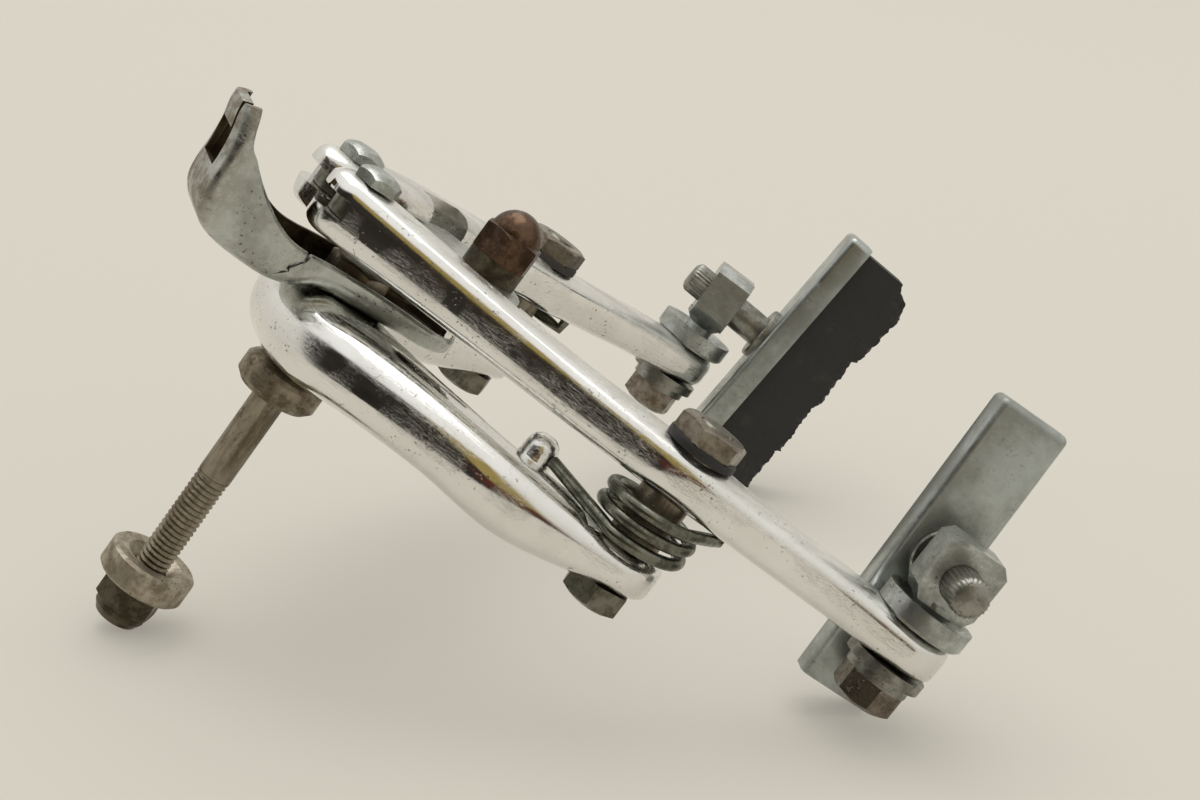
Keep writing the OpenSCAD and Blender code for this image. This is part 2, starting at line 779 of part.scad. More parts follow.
// The rubber: three blocks between two grooves, each worn ragged at its outer edge
module brake_pad(side) {
    start = -holder_len / 2 + holder_t;
    end = holder_len / 2;
    face = -holder_rim - rubber_of(side);
    worn = [
        [start, -holder_t], [start, face + 4.2], [start + 1.6, face + 3.4], [start + 2.6, face + 1.4],
        [start + 6, face], [start + 16.5, face + 0.3], [start + 18.5, face + 0.8], [start + 19, face + 1.6],
        [start + 30.5, face + 0.6], [start + 31.5, face + 1.4], [start + 43, face + 0.6],
        [start + 44, face + 1.3], [end - 1.5, face + 0.8], [end, face + 2], [end, -holder_t]
    ];
    color(black) at_pad(side) translate([0, 0, pad_floor + holder_t]) linear_extrude(holder_w - 2 * holder_t)
        polygon([for (p = worn) [p[1], p[0]]]);
}

yoke();
centre_bolt();
seat_washer();
rear_washer();
centre_nut();
cable_hanger();
pivot_bolt(LEFT);  // left_pivot_bolt
pivot_sleeve(LEFT);  // left_pivot_sleeve
pivot_washer(LEFT);  // left_pivot_washer
pivot_nut(LEFT);  // left_pivot_nut
return_spring(LEFT);  // left_return_spring
pivot_bolt(RIGHT);  // right_pivot_bolt
pivot_sleeve(RIGHT);  // right_pivot_sleeve
pivot_washer(RIGHT);  // right_pivot_washer
pivot_nut(RIGHT);  // right_pivot_nut
return_spring(RIGHT);  // right_return_spring
arm(LEFT);  // left_arm
roller_bolt(LEFT);  // left_roller_bolt
roller(LEFT);  // left_roller
eye_bolt(LEFT);  // left_eye_bolt
saddle_washer(LEFT);  // left_saddle_washer
stepped_washer(LEFT);  // left_stepped_washer
clamp_nut(LEFT);  // left_clamp_nut
pad_post(LEFT);  // left_pad_post
pad_holder(LEFT);  // left_pad_holder
brake_pad(LEFT);  // left_brake_pad
arm(RIGHT);  // right_arm
roller_bolt(RIGHT);  // right_roller_bolt
roller(RIGHT);  // right_roller
eye_bolt(RIGHT);  // right_eye_bolt
saddle_washer(RIGHT);  // right_saddle_washer
stepped_washer(RIGHT);  // right_stepped_washer
clamp_nut(RIGHT);  // right_clamp_nut
pad_post(RIGHT);  // right_pad_post
pad_holder(RIGHT);  // right_pad_holder
brake_pad(RIGHT);  // right_brake_pad
cam_plate();
anchor_bolt();
anchor_rear_washer();
anchor_spacer();
anchor_nut();
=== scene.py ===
import math
import random

import bmesh
import bpy
import numpy as np
from mathutils import Matrix, Vector


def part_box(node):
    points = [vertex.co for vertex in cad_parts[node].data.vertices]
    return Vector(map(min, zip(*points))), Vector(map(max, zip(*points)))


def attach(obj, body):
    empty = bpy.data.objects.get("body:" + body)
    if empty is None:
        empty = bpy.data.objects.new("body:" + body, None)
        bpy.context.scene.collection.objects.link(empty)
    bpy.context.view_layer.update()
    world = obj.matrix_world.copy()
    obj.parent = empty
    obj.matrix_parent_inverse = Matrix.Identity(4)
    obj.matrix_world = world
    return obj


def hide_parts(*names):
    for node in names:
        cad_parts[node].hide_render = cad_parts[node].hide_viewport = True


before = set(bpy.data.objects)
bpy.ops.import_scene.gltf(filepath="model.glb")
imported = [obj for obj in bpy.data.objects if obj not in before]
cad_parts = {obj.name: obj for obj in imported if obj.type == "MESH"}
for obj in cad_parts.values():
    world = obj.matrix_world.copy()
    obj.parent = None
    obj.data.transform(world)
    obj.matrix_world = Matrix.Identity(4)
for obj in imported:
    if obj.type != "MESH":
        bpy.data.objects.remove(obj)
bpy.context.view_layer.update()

MM = 0.001
both_sides = ((-1, "left"), (1, "right"))

# Camera. It looks down along the left arm from the front, with a short telephoto lens, while
# the brake lies on its two pads and on the nut of its centre bolt.
view_right = Vector((-0.3076, -0.5890, -0.7474))
view_up = Vector((0.4214, -0.7885, 0.4480))
view_back = Vector((-0.8531, -0.1772, 0.4907))
camera_lens = bpy.data.cameras.new("camera")
camera_lens.lens = 58.9
camera_lens.sensor_width = 36
camera = bpy.data.objects.new("camera", camera_lens)
bpy.context.scene.collection.objects.link(camera)
camera.matrix_world = Matrix.Translation(Vector((-300.1, -90.5, 120.8)) * MM) @ (
    Matrix((view_right, view_up, view_back)).transposed().to_4x4())
bpy.context.scene.camera = camera
bpy.context.scene.view_settings.view_transform = "Standard"

# Table and light. A wide sheet of plain pale paper lies on the plane that the nut and the two
# pads touch, under one soft lamp, in a room that is bright overhead and dark behind the camera.


def paint(red, green, blue):
    """A colour given as it looks on screen, 0 to 255, as the linear values that shaders take."""
    def linear(v):
        v = v / 255
        return v / 12.92 if v <= 0.04045 else ((v + 0.055) / 1.055) ** 2.4
    return (linear(red), linear(green), linear(blue), 1.0)


class Shade:
    """A value or colour in a material. Operators add Math nodes, and node() adds any other."""

    def __init__(self, tree, socket=None):
        self.tree = tree
        self.socket = socket

    def node(self, kind, settings=None, inputs=None, out=0):
        made = self.tree.nodes.new(kind)
        for name, value in (settings or {}).items():
            if name == "stops":
                elements = made.color_ramp.elements
                elements[0].position, elements[0].color = value[0]
                elements[1].position, elements[1].color = value[-1]
                for place, colour in value[1:-1]:
                    elements.new(place).color = colour
            else:
                setattr(made, name, value)
        for key, value in (inputs or {}).items():
            if isinstance(value, Shade):
                self.tree.links.new(value.socket, made.inputs[key])
            else:
                made.inputs[key].default_value = value
        return Shade(self.tree, made.outputs[out] if made.outputs else None)

    def maths(self, operation, first, second):
        return self.node("ShaderNodeMath", {"operation": operation}, {0: first, 1: second})

    def __add__(self, other):
        return self.maths("ADD", self, other)

    def __radd__(self, other):
        return self.maths("ADD", other, self)

    def __sub__(self, other):
        return self.maths("SUBTRACT", self, other)

    def __rsub__(self, other):
        return self.maths("SUBTRACT", other, self)

    def __mul__(self, other):
        return self.maths("MULTIPLY", self, other)

    def step(self, low, high):
        """0 below low, 1 above high, and smooth between."""
        return self.node("ShaderNodeMapRange", {"interpolation_type": "SMOOTHSTEP"},
                         {"Value": self, "From Min": low, "From Max": high})

    def mix(self, colour_a, colour_b):
        """colour_a where this value is 0, and colour_b where it is 1."""
        return self.node("ShaderNodeMix", {"data_type": "RGBA"},
                         {0: self, 6: colour_a, 7: colour_b}, out=2)


def finish_named(name):
    """An empty material, and a Shade on its tree that starts every other node."""
    made = bpy.data.materials.new(name)
    made.use_nodes = True
    made.node_tree.nodes.clear()
    return made, Shade(made.node_tree)


table_up = Vector((0.0843, -0.8468, 0.5252)).normalized()
table_point = Vector((-0.5, 48.5, -3.9)) * MM
table_half = 6.0
own_glow = 0.40
across = table_up.orthogonal().normalized()
along_table = table_up.cross(across)
corners = [table_point + table_half * (across * a + along_table * b)
           for a, b in ((-1, -1), (1, -1), (1, 1), (-1, 1))]
table_mesh = bpy.data.meshes.new("table")
table_mesh.from_pydata(corners, [], [(0, 1, 2, 3)])
table = bpy.data.objects.new("table", table_mesh)
bpy.context.scene.collection.objects.link(table)

paper, on_paper = finish_named("paper")
from_below = on_paper.node("ShaderNodeNewGeometry", out="Backfacing")
sheet_of_paper = on_paper.node("ShaderNodeBsdfPrincipled", inputs={
    "Base Color": paint(212, 208, 197), "Roughness": 0.85, "Specular IOR Level": 0.2})
plain = on_paper.node("ShaderNodeEmission", inputs={"Color": paint(216, 211, 200), "Strength": 1.0})
looked_at = (on_paper.node("ShaderNodeLightPath", out="Is Camera Ray")
             + on_paper.node("ShaderNodeLightPath", out="Is Glossy Ray"))
softly_lit = on_paper.node("ShaderNodeMixShader", inputs={
    0: looked_at * own_glow, 1: sheet_of_paper, 2: plain})
clear = on_paper.node("ShaderNodeBsdfTransparent")
seen = on_paper.node("ShaderNodeMixShader", inputs={0: from_below, 1: softly_lit, 2: clear})
on_paper.node("ShaderNodeOutputMaterial", inputs={"Surface": seen})
table_mesh.materials.append(paper)

# The polished metal mirrors the room. It is pale overhead and beyond the brake, and dark behind
# the camera, with a brassy tone higher up there and a wine-red one near the table.
room = bpy.data.worlds.new("room")
room.use_nodes = True
room.node_tree.nodes.clear()
bpy.context.scene.world = room
in_room = Shade(room.node_tree)
toward = in_room.node("ShaderNodeTexCoord", out="Generated")
height = in_room.node("ShaderNodeVectorMath", {"operation": "DOT_PRODUCT"},
                      {0: toward, 1: tuple(table_up)}, out="Value")
toward_camera = in_room.node("ShaderNodeVectorMath", {"operation": "DOT_PRODUCT"},
                             {0: toward, 1: tuple(view_back)}, out="Value")
across_view = in_room.node("ShaderNodeVectorMath", {"operation": "DOT_PRODUCT"},
                           {0: toward, 1: tuple(view_right)}, out="Value")
backdrop = in_room.node("ShaderNodeValToRGB", {"stops": [
    (0.0, (0.64, 0.61, 0.55, 1)), (0.6, (0.70, 0.67, 0.61, 1)), (1.0, (1.0, 0.99, 0.96, 1))]},
    {0: height * 0.5 + 0.5})
furniture = in_room.node("ShaderNodeTexNoise", inputs={"Vector": toward, "Scale": 6.0, "Detail": 3.0})
brass_tone = (across_view + furniture * 0.10 - 0.05).step(-0.13, -0.05) * height.step(0.15, 0.24)
wine_tone = ((across_view - furniture * 0.10 + 0.05).step(-0.27, -0.20)
             * height.step(0.02, 0.06) * (1 - height.step(0.14, 0.22)))
dark = (furniture * 1.2 - 0.3).mix((0.016, 0.014, 0.012, 1), (0.05, 0.044, 0.036, 1))
dark = (wine_tone * 0.75).mix(dark, (0.11, 0.026, 0.020, 1))
dark = (brass_tone * 0.85).mix(dark, (0.40, 0.30, 0.10, 1))
in_dark = (toward_camera.step(0.30, 0.52) * height.step(-0.012, 0.012)
           * (1 - height.step(0.60, 0.72)) * (1 - across_view.step(0.22, 0.40)))
around = in_dark.mix(backdrop, dark)
camera_ray = in_room.node("ShaderNodeLightPath", out="Is Camera Ray")
room_light = in_room.node("ShaderNodeBackground", inputs={"Color": around, "Strength": 1.0})
room_seen = in_room.node("ShaderNodeBackground", inputs={
    "Color": paint(217, 213, 202), "Strength": 1.0})
in_room.node("ShaderNodeOutputWorld", inputs={
    "Surface": in_room.node("ShaderNodeMixShader", inputs={0: camera_ray, 1: room_light, 2: room_seen})})

lamp_data = bpy.data.lights.new("lamp", "AREA")
lamp_data.shape = "RECTANGLE"
lamp_data.size, lamp_data.size_y = 1.9, 1.4
lamp_data.energy = 13
lamp_data.color = (1.0, 0.985, 0.96)
lamp = bpy.data.objects.new("lamp", lamp_data)
bpy.context.scene.collection.objects.link(lamp)
lamp_place = table_up * 2.1 - view_back * 0.7 + view_right * 0.15
lamp.matrix_world = Matrix.Translation(lamp_place) @ (
    lamp_place.to_track_quat("Z", "Y").to_matrix().to_4x4())

# Yoke. The body of the brake is one aluminium forging, polished all over: a thick hub on the
# centre bolt, two legs that thin towards the pivots, and a lug on each leg for the spring.


def speckle(on, scale, detail=2.0, roughness=0.5, stretch=(1, 1, 1), turn=(0, 0, 0)):
    """Noise from 0 to 1 at a number of grains per metre, fixed to the piece."""
    place = on.node("ShaderNodeTexCoord", out="Object")
    place = on.node("ShaderNodeMapping", inputs={"Vector": place, "Scale": stretch, "Rotation": turn})
    return on.node("ShaderNodeTexNoise", inputs={
        "Vector": place, "Scale": scale, "Detail": detail, "Roughness": roughness})


def scratches(on, scale, turn, width):
    """Thin straight marks in one direction, 1 on a mark."""
    lines = speckle(on, scale, 1.0, 0.4, (1, 14, 1), turn)
    return 1 - on.node("ShaderNodeMath", {"operation": "ABSOLUTE"}, {0: lines - 0.5}).step(0.0, width)


def metal(name, bright, dull, smooth, rough, grain, pits=0.0, marks=0.0, rust=0.0,
          rust_colour=(96, 62, 40), bump=0.3, lie=(1, 1, 1), stains=None, matt_front=None):
    """A metal mottled in two tones, with pits, scratches and rust, all fixed to the piece.

    lie stretches the mottling. stains are two heights in millimetres, between which a stain
    comes in. matt_front is the front plane, as y at z = 0 in millimetres and its slope with z,
    where the polish has turned dull and streaky.
    """
    made, on = finish_named(name)
    cloud = speckle(on, grain, 8.0, 0.68, lie)
    patch = cloud.step(0.38, 0.64)
    fine = speckle(on, grain * 6, 3.0, 0.65)
    colour = (patch * 0.7 + fine * 0.3).mix(paint(*bright), paint(*dull))
    roughness = patch * (rough - smooth) + smooth + (fine - 0.5) * 0.10
    relief = fine * 0.35
    if marks:
        mask = speckle(on, 90, 2.0, 0.5).step(0.40, 0.60)
        drawn = (scratches(on, 420, (0.3, 0.2, 0.6), 0.015)
                 + scratches(on, 350, (1.1, 0.4, -0.5), 0.012)
                 + scratches(on, 300, (-0.4, 1.2, 1.4), 0.012)) * mask * marks
        roughness = roughness + drawn * 0.5
        relief = relief - drawn * 0.6
    if pits:
        crowded = speckle(on, 150, 3.0, 0.6).step(0.46, 0.60)
        spots = speckle(on, 1500, 2.0, 0.5).step(0.63, 0.69) * crowded
        dark_pits = spots * pits
        colour = dark_pits.mix(colour, paint(60, 56, 50))
        roughness = roughness + dark_pits * 0.4
        relief = relief - dark_pits * 0.9
    if matt_front:
        level, slope = matt_front
        spot = on.node("ShaderNodeTexCoord", out="Object")
        behind_front = (on.node("ShaderNodeSeparateXYZ", inputs={0: spot}, out=1)
                        + on.node("ShaderNodeSeparateXYZ", inputs={0: spot}, out=2) * slope - level * MM)
        front = 1 - behind_front.step(0.3 * MM, 1.5 * MM)
        roughness = roughness + front * (0.16 + fine * 0.14)
        streaks = speckle(on, 260, 5.0, 0.7, (1, 1, 0.18), (0, 0.6, 0)).step(0.42, 0.7)
        colour = (front * streaks * 0.8).mix(colour, paint(196, 195, 190))
    metallic = 1.0
    if rust or stains:
        shade_of_rust = speckle(on, 260, 8.0, 0.72)
        stain = shade_of_rust.step(0.66 - rust * 0.3, 0.80 - rust * 0.3)
        if stains:
            height_on_piece = on.node("ShaderNodeSeparateXYZ", inputs={
                0: on.node("ShaderNodeTexCoord", out="Object")}, out=2)
            band = height_on_piece.step(stains[0] * MM, stains[1] * MM)
            stain = stain + band * shade_of_rust.step(0.36, 0.62)
            stain = on.node("ShaderNodeClamp", inputs={"Value": stain})
        colour = (stain * 0.9).mix(colour, paint(*rust_colour))
        roughness = roughness + stain * 0.25
        metallic = 1 - stain * 0.7
        relief = relief + stain * speckle(on, 1800, 3.0, 0.6) * 0.7
    normal = on.node("ShaderNodeBump", inputs={
        "Strength": bump, "Distance": 0.2 * MM, "Height": relief})
    body = on.node("ShaderNodeBsdfPrincipled", inputs={
        "Base Color": colour, "Metallic": metallic, "Roughness": roughness, "Normal": normal})
    on.node("ShaderNodeOutputMaterial", inputs={"Surface": body})
    return made


def smooth_by_angle(mesh, degrees):
    """Shades a mesh smooth, and keeps the edges that are sharper than an angle."""
    mesh.shade_smooth()
    mesh.set_sharp_from_angle(angle=math.radians(degrees))


def body_from(name, points, faces):
    """A closed mesh as an object in the scene, its points given in millimetres."""
    mesh = bpy.data.meshes.new(name)
    mesh.from_pydata([Vector(p) * MM for p in points], [], faces)
    made = bpy.data.objects.new(name, mesh)
    bpy.context.scene.collection.objects.link(made)
    return made


def evaluated(shape):
    """The shape with its modifiers applied and removed."""
    graph = bpy.context.evaluated_depsgraph_get()
    mesh = bpy.data.meshes.new_from_object(shape.evaluated_get(graph))
    shape.modifiers.clear()
    old = shape.data
    shape.data = mesh
    bpy.data.meshes.remove(old)
    mesh.name = shape.name
    return shape


def joined(shape, tools, operation):
    """Adds the tools to the shape, or cuts them from it, and throws the tools away."""
    for tool in tools:
        cut = shape.modifiers.new("cut", "BOOLEAN")
        cut.object = tool
        cut.operation = operation
        cut.solver = "EXACT"
    evaluated(shape)
    for tool in tools:
        old = tool.data
        bpy.data.objects.remove(tool)
        bpy.data.meshes.remove(old)
    return shape


def ringed(rings, closed=False):
    """Points and faces of a skin through rings, with a fan at each end or closed on itself."""
    count, turns = len(rings[0]), len(rings)
    points = [p for ring in rings for p in ring]
    faces = []
    for i in range(turns if closed else turns - 1):
        a, b = i * count, (i + 1) % turns * count
        for j in range(count):
            k = (j + 1) % count
            faces.append((a + j, a + k, b + k, b + j))
    if not closed:
        faces.append(tuple(range(count))[::-1])
        faces.append(tuple((turns - 1) * count + j for j in range(count)))
    return points, faces


weld = 1e-7


def recalculated(shape):
    """Joins the doubled points of a closed shape, and turns every face outwards."""
    work = bmesh.new()
    work.from_mesh(shape.data)
    bmesh.ops.remove_doubles(work, verts=work.verts, dist=weld)
    bmesh.ops.recalc_face_normals(work, faces=work.faces)
    work.to_mesh(shape.data)
    work.free()
    return shape


def turned(name, profile, centre=(0, 0), sides=64):
    """A form turned about Y: the profile is [radius, y] from one end on the axis to the other."""
    rings = []
    for radius, y in profile:
        rings.append([(centre[0] + radius * math.cos(2 * math.pi * j / sides), y,
                       centre[1] + radius * math.sin(2 * math.pi * j / sides)) for j in range(sides)])
    return recalculated(body_from(name, *ringed(rings)))


axis_r = 0.01


def drum(name, radius, start, end, centre=(0, 0), sides=64):
    """A plain round bar along Y. Its ends keep a tiny ring on the axis, as every profile does."""
    return turned(name, [[axis_r, start], [radius, start], [radius, end], [axis_r, end]],
                  centre, sides)


def block(name, low, high, lean=0.0, pivot=(0, 0)):
    """A box between two corners, leaned about Y round a pivot in XZ."""
    c, s = math.cos(math.radians(lean)), math.sin(math.radians(lean))
    points = []
    for x in (low[0], high[0]):
        for y in (low[1], high[1]):
            for z in (low[2], high[2]):
                points.append((pivot[0] + x * c + z * s, y, pivot[1] - x * s + z * c))
    faces = [(0, 1, 3, 2), (4, 6, 7, 5), (0, 4, 5, 1), (2, 3, 7, 6), (0, 2, 6, 4), (1, 5, 7, 3)]
    return recalculated(body_from(name, points, faces))


def curve_through(stations, steps):
    """Stations on a smooth curve through a list of them."""
    s = np.array(stations, float)
    last = len(s) - 1
    made = []
    for t in np.linspace(0, last, steps):
        i = min(int(t), last - 1)
        u = t - i
        a, b, c, d = s[max(i - 1, 0)], s[i], s[i + 1], s[min(i + 2, last)]
        made.append(0.5 * (2 * b + (c - a) * u + (2 * a - 5 * b + 4 * c - d) * u * u
                           + (3 * b - a - 3 * c + d) * u ** 3))
    return np.array(made)


def bar(name, stations, square, steps, sides):
    """A bar of rounded square section, with a rounded cap on each end.

    A station is x, z, half width, front y and rear y. square is the power of the section, one
    for all or a list from end to end: 2 is an ellipse, and more is squarer.
    """
    path = curve_through(stations, steps)
    heading = np.gradient(path[:, :2], axis=0)
    heading /= np.linalg.norm(heading, axis=1)[:, None]
    power = np.full(steps, square) if np.isscalar(square) else np.interp(
        np.linspace(0, 1, steps), np.linspace(0, 1, len(square)), square)
    caps = np.radians([88, 80, 70, 60, 50, 40, 30, 20, 10])
    thinned = 0.3

    def cap(station, out):
        x, z, width, front, rear = station
        middle, half = (front + rear) / 2, (rear - front) / 2
        made = []
        for a in caps:
            thick = half * (1 - thinned * math.sin(a) ** 4)
            made.append([x + out[0] * width * math.sin(a), z + out[1] * width * math.sin(a),
                         width * math.cos(a), middle - thick, middle + thick])
        return made
    rows = ([(s, heading[0], power[0]) for s in cap(path[0], -heading[0])]
            + list(zip(path, heading, power))
            + [(s, heading[-1], power[-1]) for s in cap(path[-1], heading[-1])[::-1]])
    rings = []
    for s, d, p in rows:
        ring = []
        for j in range(sides):
            a = 2 * math.pi * j / sides
            w = s[2] * math.copysign(abs(math.cos(a)) ** (2 / p), math.cos(a))
            share = math.copysign(abs(math.sin(a)) ** (2 / p), math.sin(a))
            y = (s[3] + s[4]) / 2 + (s[4] - s[3]) / 2 * share
            ring.append((s[0] - d[1] * w, y, s[1] + d[0] * w))
        rings.append(ring)
    return recalculated(body_from(name, *ringed(rings)))


def softened(shape, width, degrees=38):
    """Rounds the sharp edges of a cut shape a little, closes it, and shades it smooth."""
    smooth_by_angle(shape.data, degrees)
    edge = shape.modifiers.new("edge", "BEVEL")
    edge.width = width * MM
    edge.segments = 2
    edge.limit_method = "ANGLE"
    edge.angle_limit = math.radians(degrees)
    evaluated(shape)
    work = bmesh.new()
    work.from_mesh(shape.data)
    bmesh.ops.remove_doubles(work, verts=work.verts, dist=weld)
    bmesh.ops.holes_fill(work, edges=[e for e in work.edges if e.is_boundary])
    work.to_mesh(shape.data)
    work.free()
    smooth_by_angle(shape.data, degrees)
    return shape


def worn(shape, material, body, node):
    """Gives a finished piece its material, if it has none, hangs it on the empty of its body, and hides
    the CAD node that it stands in for, if any.
    """
    if not shape.data.materials:
        shape.data.materials.append(material)
    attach(shape, body)
    if node:
        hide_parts(node)
    return shape


polished = metal("polished_forging", (236, 236, 233), (226, 225, 221), 0.06, 0.11, 60, pits=0.6,
                 marks=0.8, bump=0.12)
pivot_x, pivot_z = 42.65, -47.6
lug_x, lug_z = 30.2, -31.2
seat_y, hub_front = -5.8, -21.4
yoke_end_front, yoke_end_rear = -19.3, -12.1
leg = [[0, 0.0, 11.6, -21.9, seat_y + 0.4],
       [9, -1.2, 11.0, -22.1, -6.5],
       [19, -7.0, 9.0, -22.2, -8.7],
       [28.5, -17.0, 7.8, -21.8, -9.6],
       [36.5, -30.5, 7.6, -20.8, -8.7],
       [pivot_x, pivot_z, 7.2, yoke_end_front, yoke_end_rear]]
whole = [[-s[0]] + s[1:] for s in leg[:0:-1]] + leg
yoke = bar("forged_yoke", whole, [2.8, 2.7, 2.6, 2.1, 2.6, 2.7, 2.8], 141, 72)
lug_profile = [[axis_r, -14.0], [4.8, -14.0], [4.4, -17.6], [3.4, -19.4], [2.95, -21.0], [2.9, -22.4],
               [2.75, -23.3], [2.3, -24.3], [1.5, -24.95], [0.6, -25.08], [axis_r, -25.1]]
joined(yoke, [turned("lug", lug_profile, (side * lug_x, lug_z)) for side in (-1, 1)], "UNION")
# A tool that cuts goes on past the surface, by this much or more.
past = 5
hub_half = 14
coil_seat_r, bolt_seat_r = 9.9, 7.6
cuts = [block("front_cut", (-hub_half, hub_front - past, -hub_half), (hub_half, hub_front, hub_half)),
        block("rear_cut", (-hub_half, seat_y, -hub_half), (hub_half, seat_y + past, hub_half))]
for side in (-1, 1):
    pivot = (side * pivot_x, pivot_z)
    cuts.append(drum("coil_seat", coil_seat_r, yoke_end_front - past, yoke_end_front, pivot))
    cuts.append(drum("bolt_seat", bolt_seat_r, yoke_end_rear, yoke_end_rear + past, pivot))
joined(yoke, cuts, "DIFFERENCE")
softened(yoke, 0.35)
worn(yoke, polished, "hub", "yoke")

# Cable hanger. It is pressed from zinc-plated sheet into a channel that is open to the front,
# with the slot for the cable's housing on top. Its left flange is cracked at the bend.
sheet_t = 1.8
hanger_rows = [[-40.5, 33.4, -41.2, 30.6, 5.6], [-38.6, 33.2, -40.0, 30.3, 6.5],
               [-35.3, 32.5, -37.7, 29.7, 7.0], [-31.3, 32.1, -35.6, 28.8, 7.3],
               [-27.3, 32.1, -34.2, 27.2, 7.5], [-23.8, 31.5, -32.8, 25.8, 7.7],
               [-20.8, 29.0, -31.2, 24.0, 7.9], [-19.3, 25.2, -29.4, 21.6, 8.0],
               [-18.6, 20.3, -27.4, 18.4, 8.1], [-18.4, 15.5, -26.1, 15.0, 8.2],
               [-19.2, 11.3, -25.8, 11.6, 8.3], [-20.9, 7.9, -26.0, 8.2, 8.4],
               [-21.4, 4.9, -26.1, 5.0, 8.5], [-21.4, 3.9, -26.1, 4.0, 8.5],
               [-21.4, -4.0, -25.8, -4.0, 8.5], [-21.4, -12.0, -25.2, -12.0, 8.5]]
fold_r, rim_r = 3, 0.45


def channel_ring(row):
    """The outline of the channel at one row: crown y and z, flange edge y and z, half width."""
    crown, edge, half = np.array(row[0:2]), np.array(row[2:4]), row[4]
    depth = np.linalg.norm(edge - crown)
    down = (edge - crown) / depth
    bend = min(fold_r, half - sheet_t, depth - 0.6)
    quarter = np.radians(np.linspace(0, 90, 9))

    def surface(w, r, top, rim):
        one_side = [(-w + rim, depth), (-w, depth - rim_r)]
        one_side += [(-w + r - r * math.cos(a), top + r - r * math.sin(a)) for a in quarter]
        return one_side + [(-x, d) for x, d in one_side[::-1]]

    outer = surface(half, bend, 0, rim_r)
    inner = surface(half - sheet_t, max(bend - sheet_t, 0.4), sheet_t, -rim_r)
    return [(x, crown[0] + down[0] * d, crown[1] + down[1] * d) for x, d in outer + inner[::-1]]


foot_y, foot_z, foot_edge_y, foot_edge_z, foot_half = hanger_rows[-1]
foot = [[foot_y, foot_z - foot_half * math.sin(a), foot_edge_y + 0.6 * math.sin(a),
         foot_edge_z - foot_half * math.sin(a), foot_half * math.cos(a) + 0.4]
        for a in np.radians([10, 20, 30, 40, 50, 60, 66, 72])]
rings = [channel_ring(row) for row in list(curve_through(hanger_rows, 85)) + foot]
points, faces = ringed(rings)
faces = faces[:-2]
count = len(rings[0])
inner_side = count // 2 - 1
for base in (0, (len(rings) - 1) * count):
    for j in range(inner_side):
        faces.append((base + j, base + j + 1, base + count - 2 - j, base + count - 1 - j))
hanger = body_from("pressed_hanger", points, faces)
# The channel's inner faces and the slot's walls take a dark second material: rust, grime and painted
# shade.
grime_and_shade_slot = 1
for face, corners in zip(hanger.data.polygons, faces):
    if min(c % count for c in corners) >= inner_side:
        face.material_index = grime_and_shade_slot
recalculated(hanger)
slot_w, slot_len, slot_mid, slit_w = 8.6, 6.4, -32.7, 1.1
slot_left, slot_y = -slot_w / 2, (slot_mid - slot_len / 2, slot_mid + slot_len / 2)
slit_from, slot_z = -45, (26, 36)
slot_outline = [(slot_left, slit_from), (slot_left + slit_w, slit_from), (slot_left + slit_w, slot_y[0]),
                (-slot_left, slot_y[0]), (-slot_left, slot_y[1]), (slot_left, slot_y[1])]
slot_tool = recalculated(body_from("slot", *ringed([
    [(x, y, z) for x, y in slot_outline] for z in slot_z])))
for face in slot_tool.data.polygons:
    face.material_index = grime_and_shade_slot
crack = [(-19.8, 15.2), (-20.6, 14.5), (-21.3, 14.2), (-21.8, 13.7), (-22.6, 13.8), (-23.2, 13.3),
         (-23.9, 12.9), (-24.3, 12.2), (-25.4, 12.1), (-27.2, 11.6), (-27.2, 10.6), (-25.3, 11.4),
         (-24.4, 11.6), (-23.8, 12.2), (-22.9, 12.8), (-22.4, 13.3), (-21.7, 13.1), (-21.0, 13.9)]
crack_near, crack_far = -10.0, -4.8
crack_tool = recalculated(body_from("crack", *ringed([
    [(crack_near, y, z) for y, z in crack], [(crack_far, y, z) for y, z in crack]])))
joined(hanger, [slot_tool, crack_tool], "DIFFERENCE")
softened(hanger, 0.18)
hanger_zinc = metal("hanger_zinc", (192, 195, 190), (150, 151, 143), 0.22, 0.36, 150, pits=0.7, marks=0.8,
                    rust=0.03, rust_colour=(104, 84, 54), bump=0.25, stains=(25, 34))
# Dark inside finish: some rust and grime, and painted shade for the inside of the channel.
hanger_grime_and_shade = metal("hanger_grime_and_shade", (96, 84, 64), (48, 40, 30), 0.4, 0.6, 240, pits=0.6, rust=0.35,
                    rust_colour=(74, 50, 28), bump=0.5)
worn(hanger, hanger_zinc, "hub", "cable_hanger")
hanger.data.materials.append(hanger_grime_and_shade)

# Centre bolt. A steel bolt holds the brake to the bicycle: a hexagon head in the hanger, a plain
# shank, and a rolled thread on its rear part, with two stained washers and a dark nut. The seat
# washer is the darker one, partly stain and partly painted shade from its place against the yoke.
tarnished = metal("tarnished_steel", (160, 152, 136), (92, 80, 62), 0.34, 0.5, 320, pits=0.5, rust=0.25,
                  rust_colour=(84, 64, 44), bump=0.5, lie=(1, 0.2, 1))
stained = metal("stained_washer", (186, 178, 162), (128, 116, 96), 0.42, 0.6, 300, pits=0.9, rust=0.25,
                rust_colour=(104, 86, 60), bump=0.8)
# A darker copy of the washer finish for the seat washer: partly stain, partly painted shade from the
# yoke.
stained_and_shaded_washer = metal("dark_washer", (158, 148, 130), (92, 82, 66), 0.42, 0.6, 320, pits=0.9, rust=0.3,
                   rust_colour=(86, 70, 50), bump=0.8)
old_nut = metal("dark_nut", (104, 96, 80), (58, 52, 42), 0.3, 0.5, 300, pits=0.5, rust=0.25,
                rust_colour=(66, 52, 38), bump=0.6)


